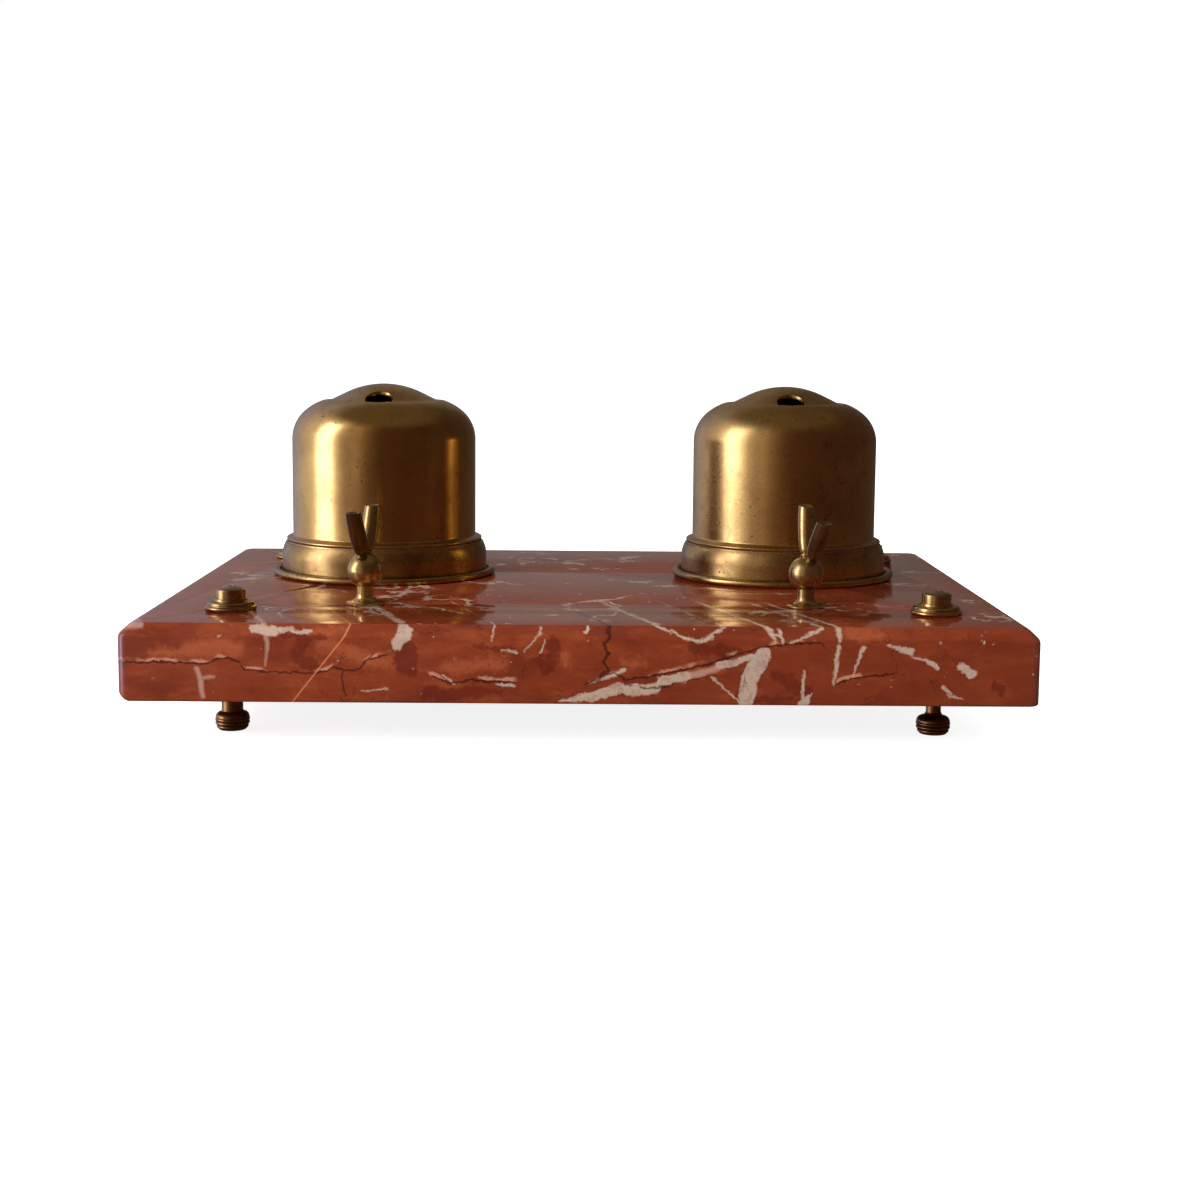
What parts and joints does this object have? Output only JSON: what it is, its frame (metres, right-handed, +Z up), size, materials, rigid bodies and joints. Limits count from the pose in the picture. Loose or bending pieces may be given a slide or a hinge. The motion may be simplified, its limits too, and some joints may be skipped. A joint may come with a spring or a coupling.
{
  "type": "desk inkstand",
  "caption": "Polished marble desk inkstand on turned brass feet, with bell-covered ink wells behind and forked brass pen rests in front.",
  "frame": {"origin": "centre of the slab's footprint, on the surface that the feet stand on", "axes": "+Z up, +X to the right seen from the front, -Y towards the pen forks at the front"},
  "size_m": [0.28, 0.2, 0.1083],
  "materials": {
    "marble": "polished red marble with pale grey veins",
    "cast_brass": "aged satin cast brass",
    "liner_brass": "dull unpolished brass sheet",
    "cork": "cork sheet",
    "glass": "clear pressed glass",
    "felt": "thin dark felt",
    "spun_brass": "aged satin spun brass sheet",
    "turned_brass": "aged polished turned brass",
    "steel": "plain steel, slightly oxidised"
  },
  "bodies": {
    "stand": {"marble_slab": "marble", "left_base_ring": "cast_brass", "left_liner": "liner_brass", "left_pot_pad": "cork", "left_ink_pot": "glass", "right_base_ring": "cast_brass", "right_liner": "liner_brass", "right_pot_pad": "cork", "right_ink_pot": "glass", "well_screws": "steel", "well_washers": "steel", "well_nuts": "steel", "left_fork_post": "turned_brass", "left_front_prong": "turned_brass", "left_rear_prong": "turned_brass", "right_fork_post": "turned_brass", "right_front_prong": "turned_brass", "right_rear_prong": "turned_brass", "fork_studs": "steel", "fork_washers": "steel", "fork_nuts": "steel", "front_left_button": "turned_brass", "front_right_button": "turned_brass", "rear_left_button": "turned_brass", "rear_right_button": "turned_brass", "front_left_foot": "turned_brass", "front_right_foot": "turned_brass", "rear_left_foot": "turned_brass", "rear_right_foot": "turned_brass", "tie_rods": "steel"},
    "left_slip": {"left_slip_ring": "felt"},
    "left_cover": {"left_bell": "spun_brass"},
    "right_slip": {"right_slip_ring": "felt"},
    "right_cover": {"right_bell": "spun_brass"}
  },
  "joints": [
    {"name": "left_bell_turn", "type": "hinge", "parent": "stand", "child": "left_slip", "pos_m": [-0.0725, 0.026, 0.05134], "axis": [0, 0, 1], "continuous": true},
    {"name": "left_bell_lift", "type": "slide", "parent": "left_slip", "child": "left_cover", "axis": [0, 0, 1], "range_m": [0, 0.05]},
    {"name": "right_bell_turn", "type": "hinge", "parent": "stand", "child": "right_slip", "pos_m": [0.0745, 0.026, 0.05134], "axis": [0, 0, 1], "continuous": true},
    {"name": "right_bell_lift", "type": "slide", "parent": "right_slip", "child": "right_cover", "axis": [0, 0, 1], "range_m": [0, 0.05]}
  ]
}
